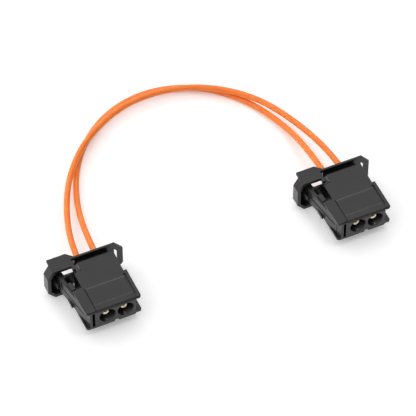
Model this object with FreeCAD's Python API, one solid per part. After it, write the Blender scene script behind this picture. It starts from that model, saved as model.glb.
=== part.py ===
import FreeCAD, Part
import math
import os

# Fibre optic bypass loop: two identical two-way plugs joined by two plastic-fibre cables.
# Millimetres. +X is the way the plugs are pushed in, +Y runs from plug a to plug b, +Z is up.
# The origin is the middle of the two plugs' footprint, on the surface that they stand on.
# Each plug is drawn in its own axes: x = 0 at the rear edge of the hood, y = 0 midway between
# the two ferrules, z = 0 on the surface.

V = FreeCAD.Vector

# Layout
PLUG_SPACING = 99.0

# Housing, lengths along x
HOOD_OVERHANG = 2.3
FLANGE_THICKNESS = 0.9
FLANGE_GROOVE = 1.6
BLOCK_LENGTH = 11.2
NOSE_LENGTH = 12.0
BLOCK_STEP = 6.3
COLLAR_LENGTH = 2.0

# Housing, heights along z
BLOCK_DROP = 3.85
NOSE_HEIGHT = 9.25
BORE_HEIGHT = 4.85
PLATE_THICKNESS = 1.1
PLATE_FRONT_RADIUS = 0.9
GROOVE_FLOOR = 0.45
BLOCK_LEAN = 1.0

# Housing, widths along y, from the plug's middle
BORE_PITCH = 7.0
NOSE_LEFT = 8.35
NOSE_RIGHT = 7.55
PLATE_RIGHT = 8.5
PLATE_RIGHT_REAR = 8.7
PLATE_LEFT_REAR = 5.4
PLATE_OVERHANG = 0.8
BLOCK_LEFT_REAR = 5.75
BLOCK_LEFT_FRONT = 8.2
STRIP_LEFT_REAR = 11.9
STRIP_LEFT_FRONT = 11.5
STRIP_CORNER = 1.2

# Guide rails on the right flank, and the ledge below the latch arm on the left flank
RAIL_RIGHT = 9.65
RAIL_LEAD = 1.3
RAIL_WIDTH = 1.3
RAIL_CORNER = 0.9
RAIL_GROOVE_WIDTH = 0.6
RAIL_GROOVE_DEPTH = 0.6
RAIL_GROOVE_MARGIN = 2.0
LOWER_RAIL_RIGHT = 9.65
LOWER_RAIL_BASE = 0.55
LOWER_RAIL_HEIGHT = 1.25
LOWER_RAIL_CORNER = 0.6
LEDGE_LEFT = 11.6
LEDGE_HEIGHT = 1.05
LEDGE_CORNER = 1.1

# Small mouldings of the housing
PANEL_INSET = 0.2
PANEL_STEP = 0.1
PANEL_RUN_PER_DROP = 2.0
PANEL_LEAD = 1.0
PANEL_MARGIN = 0.9
PANEL_FRONT_MARGIN = 3.2
PANEL_SEAM = 0.3
KEY_NOTCH_WIDTH = 1.8
KEY_NOTCH_DEPTH = 0.9
KEY_NOTCH_SLANT = 0.35
NOSE_CHAMFER = 0.3
BLOCK_CHAMFER = 0.8
COLLAR_WALL = 0.85

# Rear flange: an open frame round the block, deeper on the latch side, with a hood over the latch
FRAME_DEPTH = 4.1
FRAME_BAND = 1.3
LEG_BAND = 2.2
FRAME_RISE = 1.2
FRAME_LEFT = 17.4
FRAME_RIGHT = 13.2
FRAME_CUT_LEFT_TOP = (2.1, 3.5)
FRAME_CUT_RIGHT_TOP = (3.1, 3.8)
FRAME_CUT_RIGHT_BOTTOM = (2.2, 2.3)
FRAME_CUT_LEFT_BOTTOM = (2.7, 3.2)
WEB_HEIGHT = 5.7
BACK_RIGHT = 9.85
HOOD_RIGHT = 7.0
HOOD_REAR_RIGHT = 8.0
HOOD_CORNER = 2.4
HOOD_STUB_LENGTH = 1.6
HOOD_STUB_WIDTH = 1.2

# Ferrule
SEAT_DEPTH = 13.0
FERRULE_SEAT_GAP = 0.1
FERRULE_COLLAR_LENGTH = 2.0
FERRULE_COLLAR_RADIUS = 1.9
FERRULE_NECK_RADIUS = 1.2
FERRULE_SLEEVE_LENGTH = 4.5
FERRULE_GUIDE_RADIUS = 1.65
FERRULE_NOSE_RADIUS = 1.45
FERRULE_CHAMFER = 0.25
FERRULE_DISH = 0.2
TIP_RECESS = 1.8
CHANNEL_CLEARANCE = 0.15
GUIDE_LENGTH = 4.0
SOCKET_RADIUS = 2.95
SOCKET_CHAMFER = 0.25

# Fibre and cable
JACKET_DIAMETER = 2.3
SHEATH_DIAMETER = 1.5
CORE_DIAMETER = 1.0
FIBRE_FIT = 0.04
JACKET_GRIP = 4.1
SHEATH_CUTBACK = 2.4

# Secondary lock
LOCK_THICKNESS = 1.6
LOCK_CLEARANCE = 0.1
LOCK_HEIGHT = 6.4
LOCK_TRAVEL = 2.5
LOCK_REACH = 5.2
LOCK_HEAD_THICKNESS = 0.8
LOCK_HEAD_MARGIN = 0.9

# Latch lever: arm
ARM_SLOT = 0.9
ARM_THICKNESS = 1.5
ARM_REAR_THICKNESS = 1.3
ARM_TOP_GAP = 0.15
ARM_BOTTOM_GAP = 0.15
ARM_SPLAY = 9.3
ARM_GROOVE_DROP = 3.0
ARM_GROOVE_HEIGHT = 0.5
ARM_GROOVE_DEPTH = 0.45
ARM_GROOVE_MARGIN = 1.3
CHEEK_TAPER = 0.5
HINGE_SETBACK = 2.8
HINGE_SEAM = 0.16
KNUCKLE_RADIUS = 0.45
KNUCKLE_GAP = 0.08
LOCK_NOSE_BACK = 8.3
LOCK_NOSE_LENGTH = 4.3
LOCK_NOSE_HEIGHT = 1.4
LOCK_NOSE_PROUD = 0.8
TOOTH_BACK = 13.6
TOOTH_LENGTH = 3.6
TOOTH_RISE = 0.75
TOOTH_REACH = 0.8

# Latch lever: stepped thumb pad under the hood
PAD_LENGTH = 7.4
PAD_LEAD = 1.9
PAD_PROUD = 1.3
PAD_STEPS = 2
PAD_RUN = 1.2
PAD_RISE = 1.15
PAD_HEIGHT = 4.4

# Worked-out places
FLANGE_REAR = HOOD_OVERHANG
FLANGE_FRONT = FLANGE_REAR + FLANGE_THICKNESS
PLATE_REAR = FLANGE_FRONT + FLANGE_GROOVE
FRAME_FRONT = FLANGE_REAR + FRAME_DEPTH
SHOULDER_X = PLATE_REAR + BLOCK_LENGTH
FRONT_X = SHOULDER_X + NOSE_LENGTH
NOSE_BOTTOM = BLOCK_DROP
TOP_Z = NOSE_BOTTOM + NOSE_HEIGHT
PLATE_BOTTOM = TOP_Z - PLATE_THICKNESS
AXIS_Z = NOSE_BOTTOM + BORE_HEIGHT
BORES = (-BORE_PITCH / 2, BORE_PITCH / 2)
CHANNEL_RADIUS = FERRULE_COLLAR_RADIUS + CHANNEL_CLEARANCE
SEAT_X = FLANGE_REAR + SEAT_DEPTH
FERRULE_COLLAR_X = SEAT_X - FERRULE_SEAT_GAP - FERRULE_COLLAR_LENGTH
LOCK_FRONT = FERRULE_COLLAR_X - LOCK_CLEARANCE
LOCK_REAR = LOCK_FRONT - LOCK_THICKNESS
FERRULE_SLEEVE_X = LOCK_REAR - LOCK_CLEARANCE
FERRULE_REAR = FERRULE_SLEEVE_X - FERRULE_SLEEVE_LENGTH
FERRULE_TIP = FRONT_X - TIP_RECESS
CORE_TIP = FERRULE_TIP - FERRULE_DISH
CABLE_END = FERRULE_REAR + JACKET_GRIP
SHEATH_END = FERRULE_TIP - SHEATH_CUTBACK
HINGE_X = FRONT_X - HINGE_SETBACK
ARM_INNER = NOSE_LEFT + ARM_SLOT
ARM_OUTER = ARM_INNER + ARM_THICKNESS
HINGE_Y = -(ARM_INNER + ARM_THICKNESS / 2)
LEDGE_TOP = NOSE_BOTTOM + LEDGE_HEIGHT
ARM_TOP = PLATE_BOTTOM - ARM_TOP_GAP
ARM_BOTTOM = LEDGE_TOP + ARM_BOTTOM_GAP
FRAME_TOP = TOP_Z + FRAME_RISE
PLUG_X = -FRONT_X / 2
PLUG_Y = (FRAME_LEFT - FRAME_RIGHT) / 2

# Cable routes from plug a, round the arch, to plug b: each end runs straight out of its plug as far
# as its lead, and the points between are where the cable lies
ARC_SHARE = 0.45
OUTER_LEADS = (-18.0, -18.5)
OUTER_LAY = [
    (-40.0, -44.5, 5.0),
    (-57.0, -35.5, 4.1),
    (-71.0, -22.0, 3.9),
    (-81.0, -0.5, 3.7),
    (-78.0, 23.5, 3.8),
    (-63.5, 42.0, 4.1),
    (-43.0, 51.5, 4.6),
]
INNER_LEADS = (-19.0, -20.0)
INNER_LAY = [
    (-44.0, -39.0, 2.4),
    (-64.5, -29.5, 1.3),
    (-79.0, -14.0, 1.3),
    (-84.5, 5.5, 1.3),
    (-79.0, 25.5, 1.3),
    (-64.5, 40.0, 1.3),
    (-44.0, 47.8, 2.6),
]


def prism_x(outline, x0, x1):
    """Extrude a (y, z) outline from x0 to x1."""
    points = [V(x0, y, z) for y, z in outline]
    return Part.Face(Part.makePolygon(points + points[:1])).extrude(V(x1 - x0, 0, 0))


def prism_y(outline, y0, y1):
    """Extrude an (x, z) outline from y0 to y1."""
    points = [V(x, y0, z) for x, z in outline]
    return Part.Face(Part.makePolygon(points + points[:1])).extrude(V(0, y1 - y0, 0))


def prism_z(outline, z0, z1):
    """Extrude an (x, y) outline from z0 to z1."""
    points = [V(x, y, z0) for x, y in outline]
    return Part.Face(Part.makePolygon(points + points[:1])).extrude(V(0, 0, z1 - z0))


def block(x0, x1, y0, y1, z0, z1):
    return Part.makeBox(x1 - x0, y1 - y0, z1 - z0, V(x0, y0, z0))


def round_upright(shape, x, y, radius):
    """Round the upright edge of a shape that stands at (x, y)."""
    edges = [
        edge for edge in shape.Edges
        if edge.BoundBox.ZLength > 0.001
        and max(abs(edge.BoundBox.XMin - x), abs(edge.BoundBox.XMax - x)) < 0.001
        and max(abs(edge.BoundBox.YMin - y), abs(edge.BoundBox.YMax - y)) < 0.001
    ]
    return shape.makeFillet(radius, edges)


def turned(outline, y):
    """Revolve an (x, radius) outline about the ferrule axis at y."""
    points = [V(x, y, AXIS_Z + radius) for x, radius in outline]
    face = Part.Face(Part.makePolygon(points + points[:1]))
    return face.revolve(V(0, y, AXIS_Z), V(1, 0, 0), 360)


def nose():
    """Mating nose with the key notch in its bottom edge, the lower rail and the ledge for the latch."""
    half_notch = KEY_NOTCH_WIDTH / 2
    notch_top = NOSE_BOTTOM + KEY_NOTCH_DEPTH
    outline = [
        (-NOSE_LEFT, NOSE_BOTTOM),
        (-half_notch, NOSE_BOTTOM),
        (-half_notch + KEY_NOTCH_SLANT, notch_top),
        (half_notch - KEY_NOTCH_SLANT, notch_top),
        (half_notch, NOSE_BOTTOM),
        (NOSE_RIGHT - NOSE_CHAMFER, NOSE_BOTTOM),
        (NOSE_RIGHT, NOSE_BOTTOM + NOSE_CHAMFER),
        (NOSE_RIGHT, PLATE_BOTTOM),
        (-NOSE_LEFT, PLATE_BOTTOM),
    ]
    rail_bottom = NOSE_BOTTOM + LOWER_RAIL_BASE
    rail_root = NOSE_RIGHT - NOSE_CHAMFER
    rail_top = rail_bottom + LOWER_RAIL_HEIGHT
    rail = block(SHOULDER_X, FRONT_X, rail_root, LOWER_RAIL_RIGHT, rail_bottom, rail_top)
    ledge = block(SHOULDER_X, FRONT_X, -LEDGE_LEFT, -NOSE_LEFT + NOSE_CHAMFER, NOSE_BOTTOM, LEDGE_TOP)
    return prism_x(outline, SHOULDER_X, FRONT_X).fuse([
        round_upright(rail, FRONT_X, LOWER_RAIL_RIGHT, LOWER_RAIL_CORNER),
        round_upright(ledge, FRONT_X, -LEDGE_LEFT, LEDGE_CORNER),
    ])


def rear_block():
    """Deep block behind the nose: it carries the secondary lock and stands on the surface."""
    step_x = FLANGE_REAR + BLOCK_STEP
    plan = [
        (FLANGE_REAR, -BLOCK_LEFT_REAR),
        (step_x, -BLOCK_LEFT_REAR),
        (step_x, -BLOCK_LEFT_FRONT),
        (SHOULDER_X, -BLOCK_LEFT_FRONT),
        (SHOULDER_X, NOSE_RIGHT),
        (FLANGE_REAR, NOSE_RIGHT),
    ]
    body = prism_z(plan, 0, PLATE_BOTTOM)
    body = body.makeChamfer(BLOCK_CHAMFER, [edge for edge in body.Edges if edge.BoundBox.ZMax < 0.001])
    groove_floor = AXIS_Z + CHANNEL_RADIUS + GROOVE_FLOOR
    groove = block(FLANGE_FRONT, PLATE_REAR, -FRAME_LEFT, FRAME_RIGHT, groove_floor, TOP_Z)
    lean = [
        (-PLATE_LEFT_REAR + PLATE_OVERHANG, PLATE_BOTTOM),
        (-BLOCK_LEFT_REAR, AXIS_Z + BLOCK_LEAN),
        (-BLOCK_LEFT_REAR, PLATE_BOTTOM),
    ]
    return body.cut([groove, prism_x(lean, FLANGE_FRONT, step_x)])


def round_front(slab):
    """Round the top edge of a slab's front face."""
    front = slab.BoundBox.XMax
    edges = [
        edge for edge in slab.Edges
        if edge.BoundBox.XMin > front - 0.001 and edge.BoundBox.ZMin > PLATE_BOTTOM + 0.001
    ]
    height = edges[0].BoundBox.ZMin - PLATE_BOTTOM
    return slab.makeFillet(min(PLATE_FRONT_RADIUS, 0.95 * height), edges)


def sunk_panel(left, right):
    """What the plate loses for its sunk panel: two terraces behind gentle slopes, and a side seam."""
    rear = SHOULDER_X + PANEL_LEAD
    step_x = FRONT_X - PANEL_FRONT_MARGIN
    panel_z = TOP_Z - PANEL_INSET
    front_z = panel_z - PANEL_STEP
    front_x = FRONT_X - PANEL_INSET - PANEL_STEP
    outline = [
        (rear, TOP_Z),
        (rear + PANEL_RUN_PER_DROP * PANEL_INSET, panel_z),
        (step_x, panel_z),
        (step_x + PANEL_RUN_PER_DROP * PANEL_STEP, front_z),
        (front_x, front_z),
        (front_x, PLATE_BOTTOM),
        (rear, PLATE_BOTTOM),
    ]
    above = block(rear, FRONT_X, left, right, PLATE_BOTTOM, TOP_Z + 1)
    seam = block(rear, FRONT_X, left - PANEL_SEAM, left, panel_z - PANEL_SEAM, TOP_Z + 1)
    return above.cut(round_front(prism_y(outline, left, right))).fuse(seam)


def top_plate():
    """Stepped plate with the strip over the latch arm, the upper rail and a rounded front edge."""
    step_x = FLANGE_REAR + BLOCK_STEP
    plan = [
        (PLATE_REAR, -PLATE_LEFT_REAR),
        (step_x, -PLATE_LEFT_REAR),
        (step_x, -BLOCK_LEFT_FRONT),
        (SHOULDER_X, -BLOCK_LEFT_FRONT),
        (SHOULDER_X, -STRIP_LEFT_REAR),
        (FRONT_X, -STRIP_LEFT_FRONT),
        (FRONT_X, RAIL_RIGHT),
        (SHOULDER_X - RAIL_LEAD, RAIL_RIGHT),
        (SHOULDER_X - RAIL_LEAD, PLATE_RIGHT),
        (PLATE_REAR, PLATE_RIGHT_REAR),
    ]
    plate = round_upright(prism_z(plan, PLATE_BOTTOM, TOP_Z), FRONT_X, -STRIP_LEFT_FRONT, STRIP_CORNER)
    plate = round_upright(plate, FRONT_X, RAIL_RIGHT, RAIL_CORNER)
    slab = round_front(block(0, FRONT_X, -FRAME_LEFT, FRAME_RIGHT, PLATE_BOTTOM, TOP_Z))
    groove_right = RAIL_RIGHT - RAIL_WIDTH
    groove_left = groove_right - RAIL_GROOVE_WIDTH
    groove = block(
        SHOULDER_X, FRONT_X - RAIL_GROOVE_MARGIN, groove_left, groove_right,
        TOP_Z - RAIL_GROOVE_DEPTH, TOP_Z + 1,
    )
    panel = sunk_panel(-NOSE_LEFT + PANEL_MARGIN, groove_left)
    return plate.common(slab).cut(groove).cut(panel)


def cheek():
    """Fixed root of the latch arm between the ledge and the strip, with the hollow for the arm's knuckle."""
    face_x = HINGE_X + HINGE_SEAM / 2
    plan = [
        (face_x, -ARM_OUTER),
        (FRONT_X, -ARM_OUTER + CHEEK_TAPER),
        (FRONT_X, -ARM_INNER),
        (face_x, -ARM_INNER),
    ]
    body = prism_z(plan, NOSE_BOTTOM, PLATE_BOTTOM)
    socket = Part.makeCylinder(
        KNUCKLE_RADIUS + KNUCKLE_GAP, PLATE_BOTTOM - LEDGE_TOP, V(HINGE_X, HINGE_Y, LEDGE_TOP),
    )
    return body.cut(socket)


def frame_outline():
    """Eight-sided outline (y, z) of the rear flange."""
    left = -FRAME_LEFT
    right = FRAME_RIGHT
    return [
        (left + FRAME_CUT_LEFT_TOP[0], FRAME_TOP),
        (right - FRAME_CUT_RIGHT_TOP[0], FRAME_TOP),
        (right, FRAME_TOP - FRAME_CUT_RIGHT_TOP[1]),
        (right, FRAME_CUT_RIGHT_BOTTOM[1]),
        (right - FRAME_CUT_RIGHT_BOTTOM[0], 0),
        (left + FRAME_CUT_LEFT_BOTTOM[0], 0),
        (left, FRAME_CUT_LEFT_BOTTOM[1]),
        (left, FRAME_TOP - FRAME_CUT_LEFT_TOP[1]),
    ]


def flange_face():
    points = [V(FLANGE_REAR, y, z) for y, z in frame_outline()]
    return Part.Face(Part.makePolygon(points + points[:1]))


def frame_band(width, depth):
    """The flange's closed band of the given width, from its rear plane forward by the given depth."""
    face = flange_face()
    return face.cut(face.makeOffset2D(-width, 2)).extrude(V(depth, 0, 0))


def hood():
    """Roof over the thumb pad: it stands out behind the flange and has a cut corner by the cables."""
    left = -FRAME_LEFT + FRAME_CUT_LEFT_TOP[0]
    plan = [
        (0, left),
        (FRAME_FRONT, left),
        (FRAME_FRONT, -HOOD_RIGHT - HOOD_STUB_WIDTH),
        (FRAME_FRONT + HOOD_STUB_LENGTH, -HOOD_RIGHT - HOOD_STUB_WIDTH),
        (FRAME_FRONT + HOOD_STUB_LENGTH, -HOOD_RIGHT),
        (FLANGE_FRONT, -HOOD_RIGHT),
        (FLANGE_REAR, -HOOD_REAR_RIGHT + HOOD_CORNER),
        (0, -HOOD_REAR_RIGHT),
    ]
    return prism_z(plan, FRAME_TOP - FRAME_BAND, FRAME_TOP)


def rear_flange():
    """Open frame round the block, web below the latch window, back wall with its rim, and the hood."""
    latch_side = block(FLANGE_REAR, FRAME_FRONT, -FRAME_LEFT, -HOOD_RIGHT, 0, FRAME_TOP)
    deep_side = frame_band(FRAME_BAND, FRAME_DEPTH).common(latch_side)
    leg_side = block(FLANGE_REAR, FLANGE_FRONT, BACK_RIGHT, FRAME_RIGHT, 0, FRAME_TOP)
    leg = frame_band(LEG_BAND, FLANGE_THICKNESS).common(leg_side)
    sheet = flange_face().extrude(V(FLANGE_THICKNESS, 0, 0))
    web = sheet.common(block(FLANGE_REAR, FLANGE_FRONT, -FRAME_LEFT, -BLOCK_LEFT_REAR, 0, WEB_HEIGHT))
    back = sheet.common(block(FLANGE_REAR, FLANGE_FRONT, -BLOCK_LEFT_REAR, BACK_RIGHT, 0, FRAME_TOP))
    return frame_band(FRAME_BAND, FLANGE_THICKNESS).fuse([deep_side, leg, web, back, hood()])


def ferrule_channel(y):
    """Stepped hole for one ferrule, from the rear collar to the socket in the front face."""
    guide_radius = FERRULE_GUIDE_RADIUS + CHANNEL_CLEARANCE
    outline = [
        (FLANGE_REAR - COLLAR_LENGTH - 1, 0),
        (FLANGE_REAR - COLLAR_LENGTH - 1, CHANNEL_RADIUS),
        (SEAT_X, CHANNEL_RADIUS),
        (SEAT_X, guide_radius),
        (SEAT_X + GUIDE_LENGTH, guide_radius),
        (SEAT_X + GUIDE_LENGTH, SOCKET_RADIUS),
        (FRONT_X - SOCKET_CHAMFER, SOCKET_RADIUS),
        (FRONT_X, SOCKET_RADIUS + SOCKET_CHAMFER),
        (FRONT_X + 1, SOCKET_RADIUS + SOCKET_CHAMFER),
        (FRONT_X + 1, 0),
    ]
    return turned(outline, y)


def entry_collar(y):
    """Short tube round one cable at the housing's rear face, rounded off at its mouth."""
    radius = CHANNEL_RADIUS + COLLAR_WALL
    mouth = COLLAR_WALL / 2
    rear = FLANGE_REAR - COLLAR_LENGTH
    outline = [
        (rear, 0),
        (rear, radius - mouth),
        (rear + mouth, radius),
        (FLANGE_REAR, radius),
        (FLANGE_REAR, 0),
    ]
    return turned(outline, y)


def lock_pocket():
    half = LOCK_HEIGHT / 2 + LOCK_CLEARANCE
    return block(
        LOCK_REAR - LOCK_CLEARANCE, LOCK_FRONT + LOCK_CLEARANCE,
        -LOCK_REACH - LOCK_CLEARANCE, NOSE_RIGHT + 1,
        AXIS_Z - half, AXIS_Z + half,
    )


def housing():
    collars = [entry_collar(y) for y in BORES]
    shape = nose().fuse([rear_block(), top_plate(), cheek(), rear_flange()] + collars)
    shape = shape.cut([ferrule_channel(y) for y in BORES] + [lock_pocket()])
    return shape.removeSplitter()


def ferrule(y):
    """Turned brass ferrule: crimp sleeve, neck for the lock, collar, guide and nose, dished at the tip."""
    sheath_bore = SHEATH_DIAMETER / 2 + FIBRE_FIT
    core_bore = CORE_DIAMETER / 2 + FIBRE_FIT
    jacket_bore = JACKET_DIAMETER / 2 + FIBRE_FIT
    outline = [
        (FERRULE_REAR, jacket_bore),
        (FERRULE_REAR, FERRULE_COLLAR_RADIUS),
        (FERRULE_SLEEVE_X, FERRULE_COLLAR_RADIUS),
        (FERRULE_SLEEVE_X, FERRULE_NECK_RADIUS),
        (FERRULE_COLLAR_X, FERRULE_NECK_RADIUS),
        (FERRULE_COLLAR_X, FERRULE_COLLAR_RADIUS),
        (FERRULE_COLLAR_X + FERRULE_COLLAR_LENGTH, FERRULE_COLLAR_RADIUS),
        (FERRULE_COLLAR_X + FERRULE_COLLAR_LENGTH, FERRULE_GUIDE_RADIUS),
        (SEAT_X + GUIDE_LENGTH, FERRULE_GUIDE_RADIUS),
        (SEAT_X + GUIDE_LENGTH, FERRULE_NOSE_RADIUS),
        (FERRULE_TIP - FERRULE_CHAMFER, FERRULE_NOSE_RADIUS),
        (FERRULE_TIP, FERRULE_NOSE_RADIUS - FERRULE_CHAMFER),
        (CORE_TIP, core_bore),
        (SHEATH_END + FIBRE_FIT, core_bore),
        (SHEATH_END + FIBRE_FIT, sheath_bore),
        (CABLE_END + FIBRE_FIT, sheath_bore),
        (CABLE_END + FIBRE_FIT, jacket_bore),
    ]
    return turned(outline, y)


def sheath(y):
    bore = CORE_DIAMETER / 2 + FIBRE_FIT
    radius = SHEATH_DIAMETER / 2
    return turned([(CABLE_END, bore), (CABLE_END, radius), (SHEATH_END, radius), (SHEATH_END, bore)], y)


def core(y):
    return Part.makeCylinder(CORE_DIAMETER / 2, CORE_TIP - CABLE_END, V(CABLE_END, y, AXIS_Z), V(1, 0, 0))


def secondary_lock():
    """Plate with a keyhole for each ferrule: narrow round the neck, wide where the collar passes."""
    bottom = AXIS_Z - LOCK_HEIGHT / 2
    top = AXIS_Z + LOCK_HEIGHT / 2
    head_y = NOSE_RIGHT + LOCK_CLEARANCE
    plate = block(LOCK_REAR, LOCK_FRONT, -LOCK_REACH, head_y, bottom, top)
    head = block(
        LOCK_REAR - LOCK_HEAD_MARGIN, LOCK_FRONT + LOCK_HEAD_MARGIN,
        head_y, head_y + LOCK_HEAD_THICKNESS, bottom, top,
    )
    narrow = FERRULE_NECK_RADIUS + LOCK_CLEARANCE
    wide = CHANNEL_RADIUS
    cuts = []
    for y in BORES:
        centre = V(LOCK_REAR, y, AXIS_Z)
        cuts.append(Part.makeCylinder(narrow, LOCK_THICKNESS, centre, V(1, 0, 0)))
        cuts.append(Part.makeCylinder(wide, LOCK_THICKNESS, centre - V(0, LOCK_TRAVEL, 0), V(1, 0, 0)))
        cuts.append(block(LOCK_REAR, LOCK_FRONT, y - LOCK_TRAVEL, y, AXIS_Z - narrow, AXIS_Z + narrow))
    return plate.fuse(head).cut(cuts).removeSplitter()


def thumb_pad():
    """Stepped pad at the arm's rear end, falling outward in even steps under the hood."""
    front = FRAME_FRONT + PAD_LEAD
    y = -ARM_OUTER - PAD_PROUD
    z = ARM_TOP - PAD_STEPS * PAD_RISE
    outline = [(y, ARM_TOP - PAD_HEIGHT), (y, z)]
    for _ in range(PAD_STEPS):
        y += PAD_RUN
        outline.append((y, z))
        z += PAD_RISE
        outline.append((y, z))
    y += PAD_RUN
    outline += [(y, z), (y, ARM_TOP - PAD_HEIGHT)]
    return prism_x(outline, front - PAD_LENGTH, front)


def latch_lever():
    """Arm with its groove, lock nose, tooth and thumb pad, splayed outward about its knuckle."""
    rear = FRAME_FRONT + PAD_LEAD - PAD_LENGTH / 2
    plan = [
        (rear, -ARM_OUTER),
        (FRONT_X, -ARM_OUTER),
        (FRONT_X, -ARM_INNER),
        (rear, -ARM_OUTER + ARM_REAR_THICKNESS),
    ]
    groove_top = ARM_TOP - ARM_GROOVE_DROP
    groove = block(
        0, HINGE_X - ARM_GROOVE_MARGIN, -ARM_OUTER - 1, -ARM_OUTER + ARM_GROOVE_DEPTH,
        groove_top - ARM_GROOVE_HEIGHT, groove_top,
    )
    nose_x = HINGE_X - LOCK_NOSE_BACK
    nose_root = -ARM_OUTER + ARM_REAR_THICKNESS / 2
    lock_nose = prism_z(
        [
            (nose_x, nose_root),
            (nose_x, -ARM_OUTER - LOCK_NOSE_PROUD),
            (nose_x - LOCK_NOSE_LENGTH, -ARM_OUTER),
            (nose_x - LOCK_NOSE_LENGTH, nose_root),
        ],
        ARM_BOTTOM, ARM_BOTTOM + LOCK_NOSE_HEIGHT,
    )
    tooth_x = HINGE_X - TOOTH_BACK
    tooth = block(
        tooth_x, tooth_x + TOOTH_LENGTH, -ARM_OUTER + ARM_REAR_THICKNESS / 2, -ARM_INNER + TOOTH_REACH,
        ARM_TOP - PAD_HEIGHT, ARM_TOP + TOOTH_RISE,
    )
    arm = prism_z(plan, ARM_BOTTOM, ARM_TOP).cut(groove).fuse([lock_nose, tooth, thumb_pad()])
    arm.rotate(V(HINGE_X, HINGE_Y, 0), V(0, 0, 1), ARM_SPLAY)
    beyond = block(HINGE_X - HINGE_SEAM / 2, FRONT_X + 1, -FRAME_LEFT, 0, 0, FRAME_TOP)
    knuckle = Part.makeCylinder(KNUCKLE_RADIUS, ARM_TOP - ARM_BOTTOM, V(HINGE_X, HINGE_Y, ARM_BOTTOM))
    return arm.cut(beyond).fuse(knuckle).removeSplitter()


def cable(name, start_y, end_y, leads, lay):
    """Round jacket along straight runs joined by tangent arcs, each as large as its two runs allow."""
    tip_x = PLUG_X + CABLE_END
    points = [V(tip_x, start_y, AXIS_Z), V(leads[0], start_y, AXIS_Z)]
    points += [V(*place) for place in lay]
    points += [V(leads[1], end_y, AXIS_Z), V(tip_x, end_y, AXIS_Z)]
    edges = []
    radii = []
    start = points[0]
    for before, corner, after in zip(points, points[1:], points[2:]):
        back = before - corner
        ahead = after - corner
        reach = ARC_SHARE * min(back.Length, ahead.Length)
        half_turn = (math.pi - back.getAngle(ahead)) / 2
        radius = reach / math.tan(half_turn)
        back.normalize()
        ahead.normalize()
        inward = back + ahead
        inward.normalize()
        middle = corner + inward * (radius / math.cos(half_turn) - radius)
        leave = corner + ahead * reach
        edges.append(Part.LineSegment(start, corner + back * reach).toShape())
        edges.append(Part.Arc(corner + back * reach, middle, leave).toShape())
        radii.append(round(radius, 1))
        start = leave
    edges.append(Part.LineSegment(start, points[-1]).toShape())
    path = Part.Wire(edges)
    section = Part.Wire(Part.makeCircle(JACKET_DIAMETER / 2, points[0], points[1] - points[0]))
    tube = path.makePipeShell([section], True, False)
    swept = math.pi * JACKET_DIAMETER ** 2 / 4 * path.Length
    print(name, "length", round(path.Length, 1), "radii", radii, "section x length", round(swept, 2))
    return tube


def save(node, shape):
    print(node, "valid", shape.isValid(), "solids", len(shape.Solids), "volume", round(shape.Volume, 2))
    shape.exportStep("parts/" + node + ".step")


os.makedirs("parts", exist_ok=True)
PLUGS = {"a": PLUG_Y - PLUG_SPACING / 2, "b": PLUG_Y + PLUG_SPACING / 2}
for plug, plug_y in PLUGS.items():
    pieces = {
        "housing_" + plug: housing(),
        "latch_lever_" + plug: latch_lever(),
        "secondary_lock_" + plug: secondary_lock(),
    }
    for way, bore_y in zip("12", BORES):
        pieces["ferrule_" + plug + way] = ferrule(bore_y)
        pieces["inner_sheath_" + plug + way] = sheath(bore_y)
        pieces["fibre_core_" + plug + way] = core(bore_y)
    for node, shape in pieces.items():
        shape.translate(V(PLUG_X, plug_y, 0))
        save(node, shape)

outer_ends = (PLUGS["a"] + BORES[0], PLUGS["b"] + BORES[1])
inner_ends = (PLUGS["a"] + BORES[1], PLUGS["b"] + BORES[0])
save("loop_cable_outer", cable("loop_cable_outer", *outer_ends, OUTER_LEADS, OUTER_LAY))
save("loop_cable_inner", cable("loop_cable_inner", *inner_ends, INNER_LEADS, INNER_LAY))
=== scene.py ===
import math

import bpy
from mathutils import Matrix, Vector


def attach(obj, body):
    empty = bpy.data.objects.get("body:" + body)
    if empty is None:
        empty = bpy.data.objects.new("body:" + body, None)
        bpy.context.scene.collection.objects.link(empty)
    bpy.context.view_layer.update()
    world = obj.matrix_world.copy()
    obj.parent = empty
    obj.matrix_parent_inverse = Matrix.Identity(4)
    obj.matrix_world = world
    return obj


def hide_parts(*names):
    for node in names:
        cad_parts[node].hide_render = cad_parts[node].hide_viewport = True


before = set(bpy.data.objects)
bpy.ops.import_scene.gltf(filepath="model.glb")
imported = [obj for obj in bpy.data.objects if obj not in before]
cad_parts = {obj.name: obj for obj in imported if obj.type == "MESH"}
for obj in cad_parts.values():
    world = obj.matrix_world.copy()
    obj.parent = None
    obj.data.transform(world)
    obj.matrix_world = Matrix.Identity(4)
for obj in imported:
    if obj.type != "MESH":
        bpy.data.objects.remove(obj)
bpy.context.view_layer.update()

# Metres, in the part's own axes: +X the way the plugs are pushed in, +Y from plug a to plug b, and
# +Z up.
MM = 0.001

# The photograph's view: a long lens from the front left, looking down on the loop.
LENS = 269.6
SENSOR = 36.0
CAMERA_PLACE = (0.6447, -0.3005, 0.8812)
CAMERA_AIM = (-0.02284, 0.00504, 0.0)

# The studio: how much the floor is lifted towards white where it is seen; the tent's brightest
# direction, and its strength at two cosines of the angle from there, as (cosine, strength); and the
# panel overhead.
WHITE = (1.0, 1.0, 1.0, 1.0)
FLOOR_SIZE = 6.0
FLOOR_PAINT = (0.92, 0.92, 0.92, 1.0)
FLOOR_LIFT = 0.23
TENT_POLE = (-0.45, -0.4, 0.8)
TENT_DARK = (-0.2, 0.1)
TENT_BRIGHT = (0.8, 1.25)
PANEL_SIZE = 0.2
PANEL_POWER = 0.8
PANEL_PLACE = (0.25, 0.27, 0.93)

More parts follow.
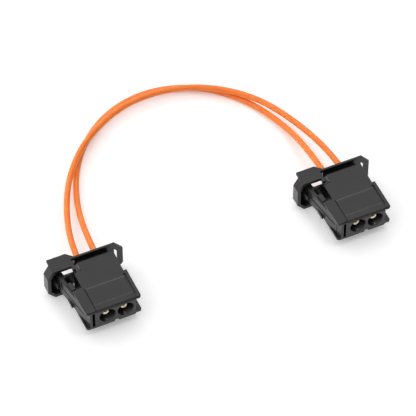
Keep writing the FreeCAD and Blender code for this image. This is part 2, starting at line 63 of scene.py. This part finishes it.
# The mould's radius on sharp edges, and what prepares the imported meshes for it.
EDGE_RADIUS = 0.14 * MM
EDGE_STEPS = 3
SHARP_EDGE = math.radians(50)
SAME_CORNER = 0.001 * MM
SAME_PLANE = math.radians(1)

# The two cables, from plug a round the arch to plug b.
CABLE_ORDER = 3
CABLE_STEPS = 16
CABLE_ROUNDNESS = 8
CABLE_DIAMETER = 0.0023
OUTER_ROUTE = [
    (-0.0030, -0.0509, 0.0087),
    (-0.0180, -0.0509, 0.0087),
    (-0.0400, -0.0445, 0.0050),
    (-0.0570, -0.0355, 0.0041),
    (-0.0710, -0.0220, 0.0039),
    (-0.0810, -0.0005, 0.0037),
    (-0.0780, 0.0235, 0.0038),
    (-0.0635, 0.0420, 0.0041),
    (-0.0430, 0.0515, 0.0046),
    (-0.0185, 0.0551, 0.0087),
    (-0.0030, 0.0551, 0.0087),
]
INNER_ROUTE = [
    (-0.0030, -0.0439, 0.0087),
    (-0.0190, -0.0439, 0.0087),
    (-0.0440, -0.0390, 0.0024),
    (-0.0645, -0.0295, 0.0013),
    (-0.0790, -0.0140, 0.0013),
    (-0.0845, 0.0055, 0.0013),
    (-0.0790, 0.0255, 0.0013),
    (-0.0645, 0.0400, 0.0013),
    (-0.0440, 0.0478, 0.0026),
    (-0.0200, 0.0481, 0.0087),
    (-0.0030, 0.0481, 0.0087),
]


def linear(colour):
    """An sRGB hex colour as linear RGBA."""
    channels = [int(colour[i:i + 2], 16) / 255 for i in (1, 3, 5)]
    return [c / 12.92 if c <= 0.04045 else ((c + 0.055) / 1.055) ** 2.4 for c in channels] + [1.0]


def add(tree, kind, inputs=None, **settings):
    """Add a node with its settings; an input is a value, or the socket that feeds it."""
    made = tree.nodes.new(kind)
    for name, value in settings.items():
        setattr(made, name, value)
    for name, value in (inputs or {}).items():
        if isinstance(value, bpy.types.NodeSocket):
            tree.links.new(value, made.inputs[name])
        else:
            made.inputs[name].default_value = value
    return made


def new_material(name):
    """An empty material with its node tree and its output node."""
    material = bpy.data.materials.new(name)
    material.use_nodes = True
    tree = material.node_tree
    tree.nodes.clear()
    return material, tree, add(tree, "ShaderNodeOutputMaterial")


def per_mm(size):
    """Pattern scale for features of that size in millimetres, in coordinates that are metres."""
    return 1 / (size * MM)


def moulded_polyamide():
    """Glass-filled black polyamide from a polished mould: nearly black, so most of what the eye sees
    is the white room in its skin, broken up a little by a fine grain and by cloudy flow marks."""
    material, tree, output = new_material("moulded_black_polyamide")
    place = add(tree, "ShaderNodeTexCoord").outputs["Object"]
    flow = add(tree, "ShaderNodeTexNoise", {"Vector": place, "Scale": per_mm(5.0), "Detail": 3.0})
    # The real grain is about 0.05 mm; it is drawn at 0.3 mm so that it shows.
    grain = add(tree, "ShaderNodeTexNoise", {"Vector": place, "Scale": per_mm(0.3), "Detail": 2.0})
    fibre = add(tree, "ShaderNodeTexVoronoi", {"Vector": place, "Scale": per_mm(0.7)})
    cloud = add(tree, "ShaderNodeValToRGB", {"Fac": flow.outputs["Fac"]})
    cloud.color_ramp.elements[0].position = 0.35
    cloud.color_ramp.elements[0].color = linear("#0c0c0d")
    cloud.color_ramp.elements[1].position = 0.7
    cloud.color_ramp.elements[1].color = linear("#131315")
    glint = add(
        tree, "ShaderNodeMapRange",
        {
            "Value": fibre.outputs["Distance"],
            "From Min": 0.0, "From Max": 0.16, "To Min": 0.5, "To Max": 0.0,
        },
    )
    colour = add(
        tree, "ShaderNodeMix",
        {"Factor": glint.outputs["Result"], "A": cloud.outputs["Color"], "B": linear("#26272a")},
        data_type="RGBA",
    )
    skin = add(
        tree, "ShaderNodeMapRange",
        {
            "Value": grain.outputs["Fac"],
            "From Min": 0.3, "From Max": 0.7, "To Min": 0.26, "To Max": 0.38,
        },
    )
    bump = add(
        tree, "ShaderNodeBump",
        {"Height": grain.outputs["Fac"], "Strength": 0.12, "Distance": 0.03 * MM},
    )
    shader = add(
        tree, "ShaderNodeBsdfPrincipled",
        {
            "Base Color": colour.outputs["Result"],
            "Roughness": skin.outputs["Result"],
            "IOR": 1.53,
            "Normal": bump.outputs["Normal"],
        },
    )
    tree.links.new(shader.outputs["BSDF"], output.inputs["Surface"])
    return material


def turned_brass():
    """Free-cutting brass off a lathe: pale and bright, with fine rings round the axis and a little
    tarnish."""
    material, tree, output = new_material("turned_brass")
    place = add(tree, "ShaderNodeTexCoord").outputs["Object"]
    # The tool's rings are about 0.05 mm apart; they are drawn at 0.25 mm so that they show.
    rings = add(
        tree, "ShaderNodeTexWave",
        {"Vector": place, "Scale": per_mm(0.25) / math.tau, "Distortion": 0.6, "Detail": 1.0},
        bands_direction="X",
    )
    stain = add(tree, "ShaderNodeTexNoise", {"Vector": place, "Scale": per_mm(1.2), "Detail": 3.0})
    colour = add(
        tree, "ShaderNodeMix",
        {"Factor": stain.outputs["Fac"], "A": linear("#ddd5b4"), "B": linear("#b5a888")},
        data_type="RGBA",
    )
    shine = add(
        tree, "ShaderNodeMapRange",
        {
            "Value": stain.outputs["Fac"],
            "From Min": 0.3, "From Max": 0.7, "To Min": 0.2, "To Max": 0.36,
        },
    )
    bump = add(
        tree, "ShaderNodeBump",
        {"Height": rings.outputs["Fac"], "Strength": 0.2, "Distance": 0.01 * MM},
    )
    shader = add(
        tree, "ShaderNodeBsdfPrincipled",
        {
            "Base Color": colour.outputs["Result"],
            "Metallic": 1.0,
            "Roughness": shine.outputs["Result"],
            "Normal": bump.outputs["Normal"],
        },
    )
    tree.links.new(shader.outputs["BSDF"], output.inputs["Surface"])
    return material


def extruded_jacket():
    """Orange polyamide drawn over the fibre: satin and milky, so red light passes through it and
    warms the shaded side, with faint waves of thickness along it from the extruder."""
    material, tree, output = new_material("extruded_orange_jacket")
    place = add(tree, "ShaderNodeTexCoord").outputs["Object"]
    wave = add(tree, "ShaderNodeTexNoise", {"Vector": place, "Scale": per_mm(6.0), "Detail": 2.0})
    # Rubbing marks are about 0.1 mm; they are drawn at 0.5 mm so that they show.
    rub = add(tree, "ShaderNodeTexNoise", {"Vector": place, "Scale": per_mm(0.5), "Detail": 3.0})
    colour = add(
        tree, "ShaderNodeMix",
        {"Factor": wave.outputs["Fac"], "A": linear("#fb7d1a"), "B": linear("#fd9028")},
        data_type="RGBA",
    )
    satin = add(
        tree, "ShaderNodeMapRange",
        {
            "Value": rub.outputs["Fac"],
            "From Min": 0.3, "From Max": 0.7, "To Min": 0.3, "To Max": 0.42,
        },
    )
    bump = add(
        tree, "ShaderNodeBump",
        {"Height": wave.outputs["Fac"], "Strength": 0.15, "Distance": 0.05 * MM},
    )
    shader = add(
        tree, "ShaderNodeBsdfPrincipled",
        {
            "Base Color": colour.outputs["Result"],
            "Roughness": satin.outputs["Result"],
            "IOR": 1.53,
            "Subsurface Weight": 0.9,
            "Subsurface Radius": (1.0, 0.2, 0.05),
            "Subsurface Scale": 1.5 * MM,
            "Normal": bump.outputs["Normal"],
        },
    )
    tree.links.new(shader.outputs["BSDF"], output.inputs["Surface"])
    return material


def sheath_polyethylene():
    """Black polyethylene sheath next to the fibre: waxy and dark, with a soft uneven gloss."""
    material, tree, output = new_material("black_polyethylene_sheath")
    place = add(tree, "ShaderNodeTexCoord").outputs["Object"]
    wax = add(tree, "ShaderNodeTexNoise", {"Vector": place, "Scale": per_mm(0.6), "Detail": 2.0})
    colour = add(
        tree, "ShaderNodeMix",
        {"Factor": wax.outputs["Fac"], "A": linear("#121213"), "B": linear("#1c1c1e")},
        data_type="RGBA",
    )
    shader = add(
        tree, "ShaderNodeBsdfPrincipled",
        {"Base Color": colour.outputs["Result"], "Roughness": 0.45, "IOR": 1.51},
    )
    tree.links.new(shader.outputs["BSDF"], output.inputs["Surface"])
    return material


def fibre_acrylic():
    """Clear acrylic core, cut and polished at its end: glassy, with faint polishing marks."""
    material, tree, output = new_material("polished_acrylic_core")
    place = add(tree, "ShaderNodeTexCoord").outputs["Object"]
    polish = add(tree, "ShaderNodeTexNoise", {"Vector": place, "Scale": per_mm(0.2), "Detail": 2.0})
    gloss = add(
        tree, "ShaderNodeMapRange",
        {
            "Value": polish.outputs["Fac"],
            "From Min": 0.3, "From Max": 0.7, "To Min": 0.04, "To Max": 0.16,
        },
    )
    shader = add(
        tree, "ShaderNodeBsdfPrincipled",
        {
            "Base Color": linear("#dfe6e4"),
            "Roughness": gloss.outputs["Result"],
            "IOR": 1.49,
            "Transmission Weight": 1.0,
        },
    )
    tree.links.new(shader.outputs["BSDF"], output.inputs["Surface"])
    return material


def studio_floor():
    """White sweep: plain white to the camera and in reflections, but it keeps the shadows."""
    material, tree, output = new_material("white_studio_floor")
    path = add(tree, "ShaderNodeLightPath")
    seen = add(
        tree, "ShaderNodeMath",
        {0: path.outputs["Is Camera Ray"], 1: path.outputs["Is Glossy Ray"]}, operation="MAXIMUM",
    )
    seen = add(
        tree, "ShaderNodeMath",
        {0: seen.outputs["Value"], 1: path.outputs["Is Transmission Ray"]}, operation="MAXIMUM",
    )
    lift = add(
        tree, "ShaderNodeMath", {0: seen.outputs["Value"], 1: FLOOR_LIFT}, operation="MULTIPLY",
    )
    paint = add(tree, "ShaderNodeBsdfDiffuse", {"Color": FLOOR_PAINT})
    glow = add(tree, "ShaderNodeEmission", {"Color": WHITE, "Strength": lift.outputs["Value"]})
    both = add(tree, "ShaderNodeAddShader", {0: paint.outputs["BSDF"], 1: glow.outputs["Emission"]})
    tree.links.new(both.outputs["Shader"], output.inputs["Surface"])
    return material


# Materials on the parts
plastic = moulded_polyamide()
brass = turned_brass()
jacket = extruded_jacket()
sheath = sheath_polyethylene()
acrylic = fibre_acrylic()

FINISH = {
    "housing": plastic,
    "latch_lever": plastic,
    "secondary_lock": plastic,
    "ferrule": brass,
    "inner_sheath": sheath,
    "fibre_core": acrylic,
    "loop_cable": jacket,
}
for node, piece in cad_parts.items():
    kind = next(kind for kind in FINISH if node.startswith(kind))
    piece.data.materials.clear()
    piece.data.materials.append(FINISH[kind])

# The mould leaves a small radius on every sharp edge of the plastic pieces.
for node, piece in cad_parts.items():
    if node.startswith(("housing", "latch_lever", "secondary_lock")):
        joined = piece.modifiers.new("join_corners", "WELD")
        joined.merge_threshold = SAME_CORNER
        flat = piece.modifiers.new("merge_flats", "DECIMATE")
        flat.decimate_type = "DISSOLVE"
        flat.angle_limit = SAME_PLANE
        edge = piece.modifiers.new("mould_radius", "BEVEL")
        edge.width = EDGE_RADIUS
        edge.segments = EDGE_STEPS
        edge.limit_method = "ANGLE"
        edge.angle_limit = SHARP_EDGE
        edge.use_clamp_overlap = False
        edge.harden_normals = True


def cable(name, node, route):
    """One cable on its route, smooth and round, in place of its plain solid."""
    curve = bpy.data.curves.new(name, "CURVE")
    curve.dimensions = "3D"
    curve.bevel_depth = CABLE_DIAMETER / 2
    curve.bevel_resolution = CABLE_ROUNDNESS
    curve.resolution_u = CABLE_STEPS
    curve.use_fill_caps = True
    spline = curve.splines.new("NURBS")
    spline.points.add(len(route) - 1)
    for point, place in zip(spline.points, route):
        point.co = (*place, 1.0)
    spline.order_u = CABLE_ORDER
    spline.use_endpoint_u = True
    curve.materials.append(jacket)
    piece = bpy.data.objects.new(name, curve)
    bpy.context.scene.collection.objects.link(piece)
    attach(piece, "loop")
    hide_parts(node)


cable("outer_cable", "loop_cable_outer", OUTER_ROUTE)
cable("inner_cable", "loop_cable_inner", INNER_ROUTE)

# Floor
corner = FLOOR_SIZE / 2
mesh = bpy.data.meshes.new("floor")
mesh.from_pydata(
    [(-corner, -corner, 0), (corner, -corner, 0), (corner, corner, 0), (-corner, corner, 0)],
    [], [(0, 1, 2, 3)],
)
mesh.materials.append(studio_floor())
floor = bpy.data.objects.new("floor", mesh)
bpy.context.scene.collection.objects.link(floor)

# Light: a white tent, brightest high up behind the loop and to its left and darkest low in front on
# the right, and a small panel overhead that picks out the gentle slopes and the rounded edges
scene = bpy.context.scene
world = bpy.data.worlds.new("white_tent")
scene.world = world
world.use_nodes = True
world.node_tree.nodes.clear()
direction = add(world.node_tree, "ShaderNodeTexCoord").outputs["Generated"]
towards_pole = add(
    world.node_tree, "ShaderNodeVectorMath", {0: direction, 1: Vector(TENT_POLE).normalized()},
    operation="DOT_PRODUCT",
)
glow = add(
    world.node_tree, "ShaderNodeMapRange",
    {
        "Value": towards_pole.outputs["Value"],
        "From Min": TENT_DARK[0], "From Max": TENT_BRIGHT[0],
        "To Min": TENT_DARK[1], "To Max": TENT_BRIGHT[1],
    },
    interpolation_type="SMOOTHSTEP",
)
tent = add(
    world.node_tree, "ShaderNodeBackground",
    {"Color": WHITE, "Strength": glow.outputs["Result"]},
)
add(world.node_tree, "ShaderNodeOutputWorld", {"Surface": tent.outputs["Background"]})

panel = bpy.data.lights.new("top_panel", "AREA")
panel.shape = "SQUARE"
panel.size = PANEL_SIZE
panel.energy = PANEL_POWER
lamp = bpy.data.objects.new("top_panel", panel)
lamp.location = PANEL_PLACE
lamp.rotation_euler = (-lamp.location).to_track_quat("-Z", "Y").to_euler()
scene.collection.objects.link(lamp)

# Camera
view = bpy.data.cameras.new("camera")
view.sensor_width = SENSOR
view.lens = LENS
camera = bpy.data.objects.new("camera", view)
camera.location = CAMERA_PLACE
camera.rotation_euler = (Vector(CAMERA_AIM) - camera.location).to_track_quat("-Z", "Y").to_euler()
scene.collection.objects.link(camera)
scene.camera = camera

scene.view_settings.view_transform = "Standard"
